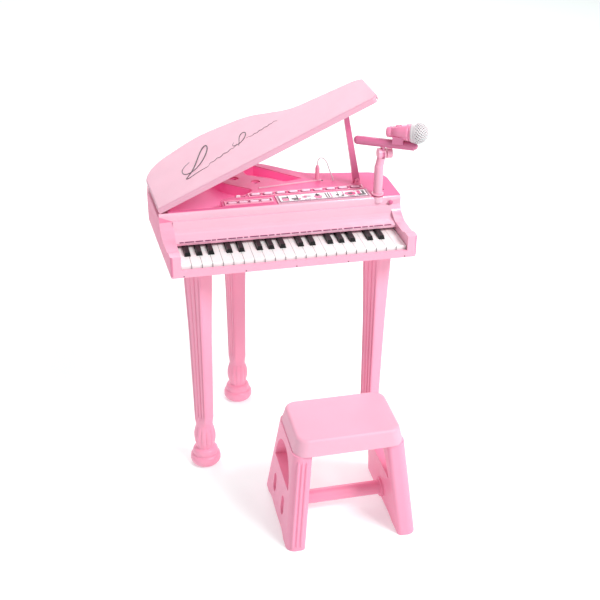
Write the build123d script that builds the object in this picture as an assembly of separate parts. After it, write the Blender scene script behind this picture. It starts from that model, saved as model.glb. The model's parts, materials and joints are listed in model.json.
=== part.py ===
"""Toy grand piano: a small electronic keyboard on three legs, with a microphone and a stool.

Modelling frame, in millimetres: x = 0 at the middle of the keyboard, y = 0 at the
front of the white keys with +y away from the player, z = 0 on the floor.
The parts are written with their origin under the middle of the whole set.
"""
import os
from math import cos, radians, sin, tan

from build123d import *

# ---------------------------------------------------------------- driving dimensions
KEY_PITCH = 19.0          # one white key
WHITE_COUNT = 22          # F to F, three octaves
KEY_TOP = 484.0           # top of the white keys above the floor

CASE_HALF_W = 228.0       # case: half width at the keyboard
CASE_FRONT = -8.0
CASE_BOTTOM = 463.5
SEAM = 467.0              # joint between the bottom tray and the upper shell
DECK = 540.0              # top of the case
ARM_TOP = 505.0           # front of the arms beside the keys
LEDGE_Y = 102.0           # front face of the ledge over the keys
TAIL_Y = 341.0            # rear end of the tail
WALL = 3.0

KEYBED_HALF = KEY_PITCH * WHITE_COUNT / 2
BAY_HALF = KEYBED_HALF + 0.4
KEY_LENGTH = 138.0
KEY_VISIBLE = 75.0
PIVOT_Y = 132.0
PIVOT_Z = KEY_TOP - 6.0
SHARP_W = 10.6
SHARP_FRONT = 34.0
SHARP_TOP = KEY_TOP + 6.5
SHARP_AFTER = {0: -2.6, 1: 0.0, 2: 2.6, 4: -1.7, 5: 1.7}    # sideways shift of the sharp after a white key

WELL_FLOOR = 518.0        # wells in the deck
BOSS_RECESSES = [(-33, 222), (-72, 246)]
BOARD_TOP = 526.6
BOARD_POSTS = [(-104, 116), (171, 134), (160, 168), (-10, 168)]
KNOB_X = 207.0

HINGE_X = -228.0          # lid hinge line, along y
HINGE_Z = 545.0
LID_OPEN_DEG = 24.8
LID_RIM = 10.5            # depth of the lid shell
LID_BELOW_AXIS = 3.5
LID_SKIN = 2.8
LID_RIGHT = 218.0
HINGE_YS = (148.0, 250.0)

PROP_X, PROP_Y, PROP_Z = 159.5, 176.6, 547.0
PROP_LEAN_DEG = 10.8

POST_X, POST_Y = 184.0, 111.0
KNUCKLE = Vector(189.5, 112.0, 624.0)
BOOM_Z = 645.0
BOOM_TURN_DEG = 30.0      # the boom points this far towards the player from +x

BOOM_BACK, BOOM_FRONT, BOOM_R = -48.0, 60.0, 8.3
BODY_RISE = 22.5
BODY_START, BODY_END = 6.0, 53.0

LEG_PLACES = {"leg_front_left": (-173.0, 59.0, 45.0), "leg_front_right": (173.0, 59.0, 59.0),
              "leg_rear": (-70.0, 273.0, 65.0)}
SOCKET_R = 14.1
SOCKET_TOP = 474.5

STOOL_X, STOOL_Y = 58.5, -136.0
STOOL_H = 216.0
SEAT_BOTTOM = 185.0
STOOL_FRAME_TILT = 6.0
BAR_Z, BAR_R = 34.0, 13.5

SCREW_PLACES = [(-219.0, 20.0), (218.6, 20.0), (-226.0, 190.0), (207.0, 190.0), (-110.0, 325.0), (8.0, 283.0)]

INSTRUMENT_COUNT = 8
INSTRUMENT_PITCH = 21.2
INSTRUMENT_X0 = -5.0
INSTRUMENT_Y = (107.0, 137.0)
TONE_COUNT = 4
TONE_PITCH = 21.0
TONE_X0, TONE_Y = -95.0, 126.0
RHYTHM_COUNT = 9
RHYTHM_PITCH = 24.7
RHYTHM_X0, RHYTHM_Y = -45.0, 157.0
OVAL_W, OVAL_D = 17.0, 7.0
BUTTON_TOP = DECK + 2.4
SWITCH_X, SWITCH_Y = -75.0, 154.0

PLUG_X, PLUG_Y, PLUG_R = 88.0, 206.0, 4.3
PLUG_TOP = 572.0
LEAD_D = 2.4
LEAD_HOLE = (118.0, 198.0)

BATTERY_BOX = (-175.0, -95.0, 165.0, 235.0)
SPEAKER_X, SPEAKER_Y = 70.0, 178.0

os.makedirs("parts", exist_ok=True)
parts = {}


# ---------------------------------------------------------------- helpers
def block(x0, x1, y0, y1, z0, z1):
    """Axis-aligned box from its six limits."""
    return Pos((x0 + x1) / 2, (y0 + y1) / 2, (z0 + z1) / 2) * Box(x1 - x0, y1 - y0, z1 - z0)


def rod(x, y, z0, z1, radius):
    """Upright cylinder."""
    return Pos(x, y, (z0 + z1) / 2) * Cylinder(radius, z1 - z0)


def rod_x(x0, x1, y, z, radius):
    """Cylinder along x."""
    return Pos((x0 + x1) / 2, y, z) * Rot(0, 90, 0) * Cylinder(radius, x1 - x0)


def rod_y(x, y0, y1, z, radius):
    """Cylinder along y."""
    return Pos(x, (y0 + y1) / 2, z) * Rot(90, 0, 0) * Cylinder(radius, y1 - y0)


def slab(face, z0, z1):
    """Extrude a flat face drawn at z = 0 between two heights."""
    return Pos(0, 0, z0) * extrude(face, z1 - z0)


def profile_x(points, x0, x1):
    """Prism along x from a closed outline of (y, z) points."""
    plane = Plane(origin=(x0, 0, 0), x_dir=(0, 1, 0), z_dir=(1, 0, 0))
    return extrude(plane * make_face(Polyline(*points, close=True)), x1 - x0)


def bar(start, end, radius):
    """Round bar between two points."""
    a, b = Vector(*start), Vector(*end)
    return Pos(*a) * Plane(origin=(0, 0, 0), z_dir=b - a).location * extrude(Circle(radius), (b - a).length)


# ---------------------------------------------------------------- case outline
def case_face():
    """Plan of the case: straight bass side, rounded tail, hollow curve to the treble side."""
    corners = [(CASE_HALF_W, CASE_FRONT), (CASE_HALF_W, 222), (72, 245), (-9, 319), (-117, TAIL_Y + 6),
               (-247.5, 309), (-CASE_HALF_W, CASE_FRONT)]
    return make_face(FilletPolyline(*corners, radius=[5, 40, 80, 110, 140, 75, 5], close=True))


CASE = case_face()


def inset(distance):
    """Case plan moved inwards."""
    return offset(CASE, amount=-distance)


# Section across the case from the front of the arms to the ledge: everything above it is cut away.
ARM_LINE = [(12, ARM_TOP), (27, 500), (73, 500.3), (95, 511), (LEDGE_Y, 523)]
ARM_RADII = [14, 20, 30, 14, 2, 5.5]


def above_arms(drop):
    """Solid over the arms; drop lowers it to cut a parallel inner skin."""
    shift = 0.6 * drop
    line = [(y + shift, z - drop) for y, z in ARM_LINE]
    back = LEDGE_Y + shift + 20
    path = FilletPolyline((-40, ARM_TOP - drop), *line, (LEDGE_Y + shift, DECK - drop), (back, DECK - drop),
                          radius=ARM_RADII)
    rest = Polyline((back, DECK - drop), (back, DECK + 60), (-40, DECK + 60), (-40, ARM_TOP - drop))
    plane = Plane(origin=(-300, 0, 0), x_dir=(0, 1, 0), z_dir=(1, 0, 0))
    return extrude(plane * make_face([*path.edges(), *rest.edges()]), 600)


# ---------------------------------------------------------------- wells in the deck
def well_bass():
    """Large well on the bass side, under the open lid."""
    corners = [(-114, 114), (-114, 148), (-60, 164), (-44, 184), (-102, 232), (-124, 322), (-190, 312),
               (-216, 268), (-213, 114)]
    return make_face(FilletPolyline(*corners, radius=[4, 6, 8, 10, 60, 20, 30, 30, 4], close=True))


def well_treble():
    """Narrow curved well beside the bent side."""
    corners = [(24, 210), (-2, 234), (-46, 260), (-50, 300), (-22, 308), (61, 221)]
    return make_face(FilletPolyline(*corners, radius=[8, 30, 12, 12, 3, 3], close=True))


def row(x0, pitch, count):
    """Centres of a row of controls."""
    return [x0 + pitch * i for i in range(count)]


def oval(x, y, grow=0.0):
    """Flat oval of one small button."""
    return Pos(x, y, 0) * SlotOverall(OVAL_W + 2 * grow, OVAL_D + 2 * grow)


OVAL_CENTRES = [(x, TONE_Y) for x in row(TONE_X0, TONE_PITCH, TONE_COUNT)]
OVAL_CENTRES += [(x, RHYTHM_Y) for x in row(RHYTHM_X0, RHYTHM_PITCH, RHYTHM_COUNT)]


# ---------------------------------------------------------------- upper case
def make_upper_case():
    """Moulded shell: arms, front rail, fallboard, ledge and deck in one piece."""
    outer = slab(CASE, SEAM, DECK) - above_arms(0)
    hollow = slab(inset(WALL), SEAM - 1, DECK - WALL) - above_arms(WALL)
    shell = outer - hollow
    shell -= block(-BAY_HALF, BAY_HALF, CASE_FRONT - 5, LEDGE_Y, 477, DECK + 30)
    shell += block(-BAY_HALF, BAY_HALF, CASE_FRONT + 1, -1.5, 470.2, 477)
    cheek = block(BAY_HALF, BAY_HALF + 2.5, CASE_FRONT + 2, LEDGE_Y + 4, 470.2, DECK)
    shell += (cheek + mirror(cheek, about=Plane.YZ)) & outer
    fallboard = [(65, 491.4), (65, 496.0), (66, 496.8), (90, 500.6), (94, 503), (96.2, 508), (98.5, 523.5),
                 (LEDGE_Y + 1, 523.5), (LEDGE_Y + 1, 520.5), (98.2, 485.4), (KEY_VISIBLE + 0.8, 485.4),
                 (KEY_VISIBLE + 0.8, 491.4)]
    shell += profile_x(fallboard, -BAY_HALF - 1, BAY_HALF + 1)
    for x, y in SCREW_PLACES:
        shell += rod(x, y, SEAM, DECK, 4.0) & outer
    pans = slab(offset(well_bass(), amount=2.4), WELL_FLOOR - 2.4, DECK - 1)
    pans += slab(offset(well_treble(), amount=2.4), WELL_FLOOR - 2.4, DECK - 1)
    for x, y in BOSS_RECESSES:
        pans += rod(x, y, DECK - 9, DECK - 1, 11.4)
    shell += pans & outer
    shell -= slab(well_bass(), WELL_FLOOR, DECK + 5)
    shell -= slab(well_treble(), WELL_FLOOR, DECK + 5)
    for x, y in BOSS_RECESSES:
        shell -= rod(x, y, DECK - 6, DECK + 5, 9.0)
    shell -= block(-300, -217, LEDGE_Y + 3.4, 360, 528, DECK + 5)
    shell += block(-246, -215.5, LEDGE_Y + 2, 345, 525.5, 528) & slab(inset(0.5), 500, DECK)
    shell += block(-217, -214.6, LEDGE_Y + 2, 300, 525.5, DECK) & outer
    for y in HINGE_YS:
        shell += block(-229.4, -225, y - 5, y + 5, 527, HINGE_Z)
        shell += rod_y(HINGE_X, y - 5, y + 5, HINGE_Z, 4.0)
        shell -= rod_y(HINGE_X, y - 6, y + 6, HINGE_Z, 2.45)
    x0, x1 = INSTRUMENT_X0 - 0.5, INSTRUMENT_X0 + INSTRUMENT_PITCH * INSTRUMENT_COUNT + 0.5
    y0, y1 = INSTRUMENT_Y
    shell += block(x0 - 3, x1 + 3, y0 + 1.2, y1 + 3, DECK - 1, DECK + 1.4)
    shell -= block(x0, x1, y0 + 3.5, y1, DECK - 10, DECK + 5)
    for x, y in OVAL_CENTRES:
        shell -= slab(oval(x, y, 0.4), DECK - 10, DECK + 5)
    shell -= block(SWITCH_X - 9, SWITCH_X + 9, SWITCH_Y - 2.6, SWITCH_Y + 2.6, DECK - 10, DECK + 5)
    for side in (-1, 1):
        ear_y = PROP_Y + side * 6.6
        shell += block(PROP_X - 5, PROP_X + 5, ear_y - 2, ear_y + 2, DECK - 1, PROP_Z)
        shell += rod_y(PROP_X, ear_y - 2, ear_y + 2, PROP_Z, 5.0)
    shell -= rod_y(PROP_X, PROP_Y - 12, PROP_Y + 12, PROP_Z, 2.05)
    shell += rod(POST_X, POST_Y, DECK - 12, DECK + 2, 12.0) & slab(CASE, DECK - 12, DECK)
    shell -= rod(POST_X, POST_Y, DECK - 8, DECK + 10, 6.05)
    shell += rod(PLUG_X, PLUG_Y, DECK - 16, DECK - 1, 6.5)
    shell -= rod(PLUG_X, PLUG_Y, DECK - 13, DECK + 5, 3.0)
    shell -= rod(LEAD_HOLE[0], LEAD_HOLE[1], DECK - 10, DECK + 5, LEAD_D / 2)
    for x, y in SCREW_PLACES:
        shell -= rod(x, y, SEAM - 1, SEAM + 13, 1.5)
    for x, y in BOARD_POSTS:
        shell += rod(x, y, BOARD_TOP, DECK - 1, 3.0)
    shell += rod_y(KNOB_X, LEDGE_Y - 3.0, LEDGE_Y + 2, 529, 4.0)
    return shell


# ---------------------------------------------------------------- lower case
def make_lower_case():
    """Bottom tray with leg sockets, key fulcrum, board ribs and battery box."""
    tray = slab(CASE, CASE_BOTTOM, SEAM)
    lip = slab(inset(WALL + 0.2), SEAM, SEAM + 2.5) - slab(inset(WALL + 2.0), SEAM - 1, SEAM + 4)
    tray += lip
    for x, y, _turn in LEG_PLACES.values():
        tray += rod(x, y, SEAM - 1, SOCKET_TOP, SOCKET_R + 2.5)
        tray -= rod(x, y, CASE_BOTTOM - 1, SOCKET_TOP + 1, SOCKET_R)
    tray += block(-KEYBED_HALF, KEYBED_HALF, PIVOT_Y - 1.2, PIVOT_Y + 1.2, SEAM - 1, PIVOT_Z)
    tray += rod_x(-KEYBED_HALF, KEYBED_HALF, PIVOT_Y, PIVOT_Z, 1.5)
    for y in (85.0, 101.0):
        tray += block(-200, 200, y - 1, y + 1, SEAM - 1, 474)
    x0, x1, y0, y1 = BATTERY_BOX
    tray += block(x0 - 2, x1 + 2, y0 - 2, y1 + 2, SEAM - 1, 485)
    tray -= block(x0, x1, y0, y1, CASE_BOTTOM - 1, 483)
    for x in (x0 + 4, x1 - 4):
        for y in (y0 + 4, y1 - 4):
            tray += block(x - 4, x + 4, y - 4, y + 4, 466, 468.5)
    for i in range(7):
        y = SPEAKER_Y + (i - 3) * 7.0
        tray -= Pos(SPEAKER_X, y, CASE_BOTTOM - 1) * extrude(SlotOverall(52 - 2.4 * abs(i - 3) ** 2, 3.2), 6)
    for x, y in SCREW_PLACES:
        tray -= rod(x, y, CASE_BOTTOM - 1, CASE_BOTTOM + 1.8, 3.2)
        tray -= rod(x, y, CASE_BOTTOM, SEAM + 5, 1.6)
    return tray


def make_battery_cover():
    """Door of the battery box, flush with the underside."""
    x0, x1, y0, y1 = BATTERY_BOX
    door = block(x0 + 0.3, x1 - 0.3, y0 + 0.3, y1 - 0.3, CASE_BOTTOM, 466)
    return door - Pos((x0 + x1) / 2, y0 + 9, CASE_BOTTOM) * Box(24, 6, 1.6)


def make_screws():
    """Six equal screws that hold the tray to the upper case."""
    solids = []
    for x, y in SCREW_PLACES:
        head = rod(x, y, CASE_BOTTOM + 0.2, CASE_BOTTOM + 1.8, 2.9)
        head -= block(x - 2.2, x + 2.2, y - 0.4, y + 0.4, CASE_BOTTOM, CASE_BOTTOM + 0.9)
        head -= block(x - 0.4, x + 0.4, y - 2.2, y + 2.2, CASE_BOTTOM, CASE_BOTTOM + 0.9)
        solids.append(head + rod(x, y, CASE_BOTTOM + 1.8, SEAM + 11, 1.4))
    return Compound(solids)


def make_speaker():
    """Round loudspeaker facing down over the slots of the tray."""
    frame = rod(SPEAKER_X, SPEAKER_Y, SEAM, SEAM + 2, 34)
    basket = Pos(SPEAKER_X, SPEAKER_Y, SEAM + 8) * Cone(32, 19, 12)
    magnet = rod(SPEAKER_X, SPEAKER_Y, SEAM + 14, SEAM + 25, 18)
    bowl = Pos(SPEAKER_X, SPEAKER_Y, SEAM + 5) * Cone(29, 12, 10)
    return frame + basket + magnet - bowl


def make_boards():
    """Main board under the buttons and contact board under the keys."""
    main = block(-108, 176, 112, 142, BOARD_TOP - 1.6, BOARD_TOP)
    main += block(-15, 165, 140, 172, BOARD_TOP - 1.6, BOARD_TOP)
    main += block(40, 62, 118, 134, BOARD_TOP - 3.8, BOARD_TOP - 1.6)
    contact = block(-205, 205, 83, 103, 474, 475.6)
    return Compound([main, contact])


# ---------------------------------------------------------------- keys
def sharp_centres():
    """White-key index and x of every sharp."""
    places = []
    for i in range(WHITE_COUNT - 1):
        if i % 7 in SHARP_AFTER:
            places.append((i, -KEYBED_HALF + KEY_PITCH * (i + 1) + SHARP_AFTER[i % 7]))
    return places


def fulcrum_groove(key):
    """Open groove under the tail that sits on the round fulcrum."""
    key -= rod_x(-KEYBED_HALF, KEYBED_HALF, PIVOT_Y, PIVOT_Z, 1.56)
    return key - block(-KEYBED_HALF, KEYBED_HALF, PIVOT_Y - 1.56, PIVOT_Y + 1.56, PIVOT_Z - 8, PIVOT_Z)


def make_white_key(index):
    """White key with its front lip and the notches beside the sharps."""
    x0 = -KEYBED_HALF + KEY_PITCH * index + 0.35
    x1 = x0 + KEY_PITCH - 0.7
    key = block(x0, x1, 0, KEY_LENGTH, KEY_TOP - 4, KEY_TOP)
    key += block(x0, x1, 0, 3, KEY_TOP - 10, KEY_TOP)
    front = key.edges().filter_by(Axis.X).group_by(Axis.Y)[0].group_by(Axis.Z)[-1]
    key = fillet(front, 1.4)
    key += block(x0, x1, PIVOT_Y - 6, KEY_LENGTH, KEY_TOP - 9, KEY_TOP - 1)
    for _i, x in sharp_centres():
        if abs(x - (x0 + x1) / 2) < KEY_PITCH:
            half = SHARP_W / 2 + 0.6
            key -= block(x - half, x + half, SHARP_FRONT - 0.8, KEY_LENGTH + 1, KEY_TOP - 12, KEY_TOP + 1)
    return fulcrum_groove(key)


def make_sharp_key(x):
    """Sharp key: raised block with sloped sides and front, and a low tail."""
    half = SHARP_W / 2
    base = block(x - half, x + half, SHARP_FRONT, KEY_VISIBLE - 0.2, KEY_TOP - 3, KEY_TOP + 0.8)
    middle = (SHARP_FRONT + KEY_VISIBLE - 0.2) / 2
    length = KEY_VISIBLE - 0.2 - SHARP_FRONT
    low = Pos(x, middle, KEY_TOP + 0.8) * Rectangle(SHARP_W, length)
    high = Pos(x, middle + 1.5, SHARP_TOP) * Rectangle(SHARP_W - 2.2, length - 3)
    key = base + loft([low, high])
    key += block(x - half, x + half, SHARP_FRONT, KEY_LENGTH, KEY_TOP - 5.5, KEY_TOP - 0.2)
    key += block(x - half, x + half, PIVOT_Y - 6, KEY_LENGTH, KEY_TOP - 9, KEY_TOP - 1)
    return fulcrum_groove(key)


# ---------------------------------------------------------------- buttons and switch
def make_instrument_buttons():
    """Row of large picture buttons in the front frame."""
    y0, y1 = INSTRUMENT_Y[0] + 4.0, INSTRUMENT_Y[1] - 0.5
    pads = []
    for i in range(INSTRUMENT_COUNT):
        x = INSTRUMENT_X0 + INSTRUMENT_PITCH * i
        pads.append(block(x + 0.3, x + INSTRUMENT_PITCH - 0.3, y0, y1, DECK - 5, BUTTON_TOP + 0.2))
    return Compound(pads)


def make_function_buttons():
    """Oval buttons for tone and rhythm."""
    caps = []
    for x, y in OVAL_CENTRES:
        cap = slab(oval(x, y), DECK - 5, BUTTON_TOP)
        caps.append(fillet(cap.edges().group_by(Axis.Z)[-1], 1.0))
    return Compound(caps)


def make_power_switch():
    """Sliding knob of the power switch."""
    knob = block(SWITCH_X - 8.2, SWITCH_X - 0.2, SWITCH_Y - 2.2, SWITCH_Y + 2.2, DECK - 5, DECK + 3)
    return fillet(knob.edges().group_by(Axis.Z)[-1], 0.8)


# ---------------------------------------------------------------- lid and prop
def prop_direction():
    """Unit vector from the prop's pivot to its tip."""
    return Vector(-sin(radians(PROP_LEAN_DEG)), 0, cos(radians(PROP_LEAN_DEG)))


def prop_length():
    """The prop's length, so that its tip just clears the lid when it swings."""
    run = PROP_X - HINGE_X
    rise = PROP_Z - HINGE_Z
    square_to_lid = run * sin(radians(LID_OPEN_DEG)) - rise * cos(radians(LID_OPEN_DEG))
    return square_to_lid - LID_BELOW_AXIS - 4.0


def make_lid():
    """Lid shell, built closed, then opened about its hinge line."""
    keep = block(-300, LID_RIGHT, LEDGE_Y + 4, 400, 0, DECK + 60)
    z0 = HINGE_Z - LID_BELOW_AXIS
    z1 = z0 + LID_RIM
    solid = slab(inset(0.5), z0, z1) & keep
    corner = solid.edges().filter_by(Axis.Z).group_by(Axis.X)[-1]
    solid = fillet(corner.sort_by(Axis.Y)[0], 14)
    solid = fillet(solid.edges().group_by(Axis.Z)[-1], 4.0)
    inner = slab(inset(3.5), z0 - 1, z1 - LID_SKIN) & block(-300, LID_RIGHT - 3, LEDGE_Y + 7, 400, 0, 700)
    lid = solid - inner
    for y in HINGE_YS:
        for y0 in (y - 8.5, y + 5.5):
            lid += block(-236, -220, y0, y0 + 3, z0, z1 - 1) & solid
        lid += rod_y(HINGE_X, y - 7, y + 7, HINGE_Z, 2.4)
    lid = Pos(HINGE_X, 0, HINGE_Z) * Rot(0, -LID_OPEN_DEG, 0) * Pos(-HINGE_X, 0, -HINGE_Z) * lid
    return lid + prop_pad()


def prop_pad():
    """Pad under the lid, square to the prop's tip."""
    direction = prop_direction()
    tip = Vector(PROP_X, PROP_Y, PROP_Z) + direction * (prop_length() + 0.1)
    frame = Plane(origin=tip, x_dir=(0, 1, 0), z_dir=direction)
    post = extrude(frame * Rectangle(14, 16), 40)
    slope = Plane(origin=(HINGE_X, 0, HINGE_Z), x_dir=(cos(radians(LID_OPEN_DEG)), 0, sin(radians(LID_OPEN_DEG))),
                  z_dir=(-sin(radians(LID_OPEN_DEG)), 0, cos(radians(LID_OPEN_DEG))))
    top = LID_RIM - LID_BELOW_AXIS - LID_SKIN / 2
    keep = slope * (Pos(200, 200, top - 100) * Box(700, 700, 200))
    return post & keep


def make_prop():
    """Flat tapered stick with its pivot pins."""
    length = prop_length()
    frame = Plane(origin=(PROP_X, PROP_Y, PROP_Z), x_dir=(cos(radians(PROP_LEAN_DEG)), 0, sin(radians(PROP_LEAN_DEG))),
                  z_dir=prop_direction())
    low = frame * (Pos(0, 0, 0) * Rectangle(13, 8.6))
    high = frame * (Pos(0, 0, length) * Rectangle(9, 7))
    stick = loft([low, high])
    stick += rod_y(PROP_X, PROP_Y - 4.3, PROP_Y + 4.3, PROP_Z, 6.4)
    return stick + rod_y(PROP_X, PROP_Y - 8.4, PROP_Y + 8.4, PROP_Z, 2.0)


# ---------------------------------------------------------------- microphone
def boom_point(along, rise=0.0):
    """Point on or above the boom's axis."""
    turn = radians(BOOM_TURN_DEG)
    return Vector(KNUCKLE.X + along * cos(turn), KNUCKLE.Y - along * sin(turn), BOOM_Z + rise)


def make_mic_post():
    """Swivelling post with a leaning top and one half of the knuckle."""
    post = rod(POST_X, POST_Y, DECK + 2.1, DECK + 5, 11.5)
    post += rod(POST_X, POST_Y, DECK - 7.8, DECK + 3, 6.0)
    post += rod(POST_X, POST_Y, DECK + 4, 598, 8.7)
    post += Pos(POST_X, POST_Y, 598) * Sphere(8.7)
    post += bar((POST_X, POST_Y, 598), (KNUCKLE.X - 1, KNUCKLE.Y, KNUCKLE.Z - 4), 8.0)
    post += rod_x(KNUCKLE.X - 9, KNUCKLE.X + 5, KNUCKLE.Y, KNUCKLE.Z, 10.3)
    post -= block(KNUCKLE.X - 2.4, KNUCKLE.X + 2.4, KNUCKLE.Y - 12, KNUCKLE.Y + 12, KNUCKLE.Z - 8.2, KNUCKLE.Z + 30)
    post -= rod_x(KNUCKLE.X - 2.4, KNUCKLE.X + 2.4, KNUCKLE.Y, KNUCKLE.Z, 10.8)
    post += rod_x(KNUCKLE.X - 7, KNUCKLE.X + 10, KNUCKLE.Y, KNUCKLE.Z, 2.5)
    return post + rod_x(KNUCKLE.X + 8, KNUCKLE.X + 18, KNUCKLE.Y, KNUCKLE.Z, 9.5)


def make_mic_boom():
    """Round boom with the tongue of the knuckle and the cradle for the microphone."""
    boom = bar(boom_point(BOOM_BACK), boom_point(BOOM_FRONT), BOOM_R)
    boom += Pos(*boom_point(BOOM_BACK)) * Sphere(BOOM_R)
    boom += Pos(*boom_point(BOOM_FRONT)) * Sphere(6.4)
    tongue = block(KNUCKLE.X - 2.2, KNUCKLE.X + 2.2, KNUCKLE.Y - 7, KNUCKLE.Y + 7, KNUCKLE.Z, BOOM_Z - 2)
    tongue += rod_x(KNUCKLE.X - 2.2, KNUCKLE.X + 2.2, KNUCKLE.Y, KNUCKLE.Z, 9.4)
    boom += tongue - rod_x(KNUCKLE.X - 4, KNUCKLE.X + 4, KNUCKLE.Y, KNUCKLE.Z, 2.56)
    turn = Rot(0, 0, -BOOM_TURN_DEG)
    cradle = Pos(*boom_point(30, 11)) * turn * Box(20, 26, 14)
    return boom + cradle - mic_body_envelope() - mic_ball(20.4)


def mic_body_envelope():
    """Outer form of the tapered microphone body."""
    back, front = boom_point(BODY_START, BODY_RISE), boom_point(BODY_END, BODY_RISE + 3.0)
    axis = (front - back).normalized()
    here = Plane(origin=back, z_dir=axis)
    there = Plane(origin=front, z_dir=axis)
    middle = Plane(origin=back + axis * 26, z_dir=axis)
    return loft([here * Circle(9.6), middle * Circle(12.4), there * Circle(16.2)])


def mic_ball(radius):
    """Sphere centred in the grille."""
    back, front = boom_point(BODY_START, BODY_RISE), boom_point(BODY_END, BODY_RISE + 3.0)
    return Pos(*(front + (front - back).normalized() * 12)) * Sphere(radius)


def make_mic_body():
    """Tapered microphone body."""
    return mic_body_envelope()


def make_mic_grille():
    """Ball-shaped grille on the end of the body."""
    back, front = boom_point(BODY_START, BODY_RISE), boom_point(BODY_END, BODY_RISE + 3.0)
    axis = (front - back).normalized()
    collar = extrude(Plane(origin=front, z_dir=axis) * Circle(17.2), 6)
    cut = extrude(Plane(origin=front, z_dir=-axis) * Circle(40), 40)
    return (mic_ball(19.8) + collar) - cut


def make_mic_plug():
    """Jack plug standing in its socket."""
    plug = rod(PLUG_X, PLUG_Y, DECK, DECK + 26, PLUG_R)
    plug += Pos(PLUG_X, PLUG_Y, DECK + 29) * Cone(PLUG_R, 2.0, 6)
    return plug + rod(PLUG_X, PLUG_Y, DECK - 12, DECK, 2.9)


# The lead's route, from the top of the plug over to its hole in the deck.
LEAD_ROUTE = [
    (PLUG_X, PLUG_Y, PLUG_TOP), (PLUG_X, PLUG_Y, PLUG_TOP + 7), (PLUG_X + 2.6, PLUG_Y - 0.8, PLUG_TOP + 14),
    (PLUG_X + 9.5, PLUG_Y - 2.0, PLUG_TOP + 15.5), (PLUG_X + 15.5, PLUG_Y - 3.4, PLUG_TOP + 10),
    (PLUG_X + 19.5, PLUG_Y - 4.6, PLUG_TOP + 1), (PLUG_X + 23.0, PLUG_Y - 5.8, DECK + 21),
    (PLUG_X + 27.2, PLUG_Y - 7.2, DECK + 11), (LEAD_HOLE[0], LEAD_HOLE[1], DECK + 4),
    (LEAD_HOLE[0], LEAD_HOLE[1], DECK - 3),
]


def make_mic_lead():
    """Lead of the microphone: straight runs joined by tangent arcs."""
    points = [Vector(*p) for p in LEAD_ROUTE]
    radii = []
    for before, here, after in zip(points, points[1:], points[2:]):
        turn = radians((here - before).get_angle(after - here))
        radii.append(0.45 * min((here - before).length, (after - here).length) / tan(turn / 2))
    path = FilletPolyline(*points, radius=radii)
    section = Plane(origin=points[0], z_dir=points[1] - points[0]) * Circle(LEAD_D / 2)
    lead = sweep(section, path=path)
    length = sum(edge.length for edge in path.edges())
    print("lead radii", [round(r, 1) for r in radii], "length", round(length, 1),
          "volume ratio", round(lead.volume / (length * 3.14159265 * (LEAD_D / 2) ** 2), 4))
    return lead


# ---------------------------------------------------------------- legs
# Leg section: side of the rounded square at each height, with the bulb and foot turned round.
LEG_SIDES = [(463.5, 41.0), (410, 39.5), (378, 37.2), (323, 33.6), (279, 31.4), (174, 27.6), (120, 26.0), (92, 25.4)]
BULB = [(92, 16.5), (84, 19.0), (70, 21.9), (56, 21.6), (44, 18.6), (38, 17.6)]
FOOT = [(38, 17.6), (37, 21.5), (33, 24.6), (27, 25.6), (23.5, 25.2), (22, 26.8), (18.5, 29.6), (12, 30.6),
        (5, 28.9), (1.5, 26.0), (0, 23.0)]


def make_leg(x, y, turn):
    """Tapered square leg with rounded edges, reeded faces, bulb and round foot."""
    sections = [Pos(0, 0, z) * RectangleRounded(side, side, side * 0.24) for z, side in LEG_SIDES]
    shaft = loft(sections)
    half = [(0, BULB[0][0]), (BULB[0][1], BULB[0][0])]
    bulb_line = Spline(*[(r, z) for z, r in BULB])
    foot_line = Spline(*[(r, z) for z, r in FOOT[1:]])
    rest = Polyline((FOOT[-1][1], 0), (0, 0), *half)
    link = Line((BULB[-1][1], BULB[-1][0]), (FOOT[1][1], FOOT[1][0]))
    face = make_face([*bulb_line.edges(), link, *foot_line.edges(), *rest.edges()])
    turned = revolve(Plane.XZ * face, Axis.Z)
    leg = shaft + turned
    for side in (-1, 1):
        for groove in (-1, 1):
            top_z, low_z = 448.0, 118.0
            top_side, low_side = 40.0, 26.2
            start = Vector(groove * 0.17 * low_side, side * (low_side / 2 + 1.1), low_z)
            end = Vector(groove * 0.17 * top_side, side * (top_side / 2 + 0.6), top_z)
            leg -= bar(start, end, 2.3)
    leg += rod(0, 0, CASE_BOTTOM - 1, SOCKET_TOP - 1, SOCKET_R - 0.05)
    return Pos(x, y, 0) * Rot(0, 0, -turn) * leg


# ---------------------------------------------------------------- stool
def seat_section(z, half_x, half_y, radius):
    """Rounded rectangle of the seat at one height."""
    return Pos(STOOL_X, STOOL_Y, z) * RectangleRounded(2 * half_x, 2 * half_y, radius)


def make_stool_seat():
    """Hollow seat with a deep skirt."""
    outer = loft([seat_section(SEAT_BOTTOM, 103, 71, 24), seat_section(STOOL_H, 96, 64, 22)])
    outer = fillet(outer.edges().group_by(Axis.Z)[-1], 7)
    inner = loft([seat_section(SEAT_BOTTOM, 99.8, 67.8, 21), seat_section(STOOL_H - 3.5, 93, 61, 19)])
    return outer - inner


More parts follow.
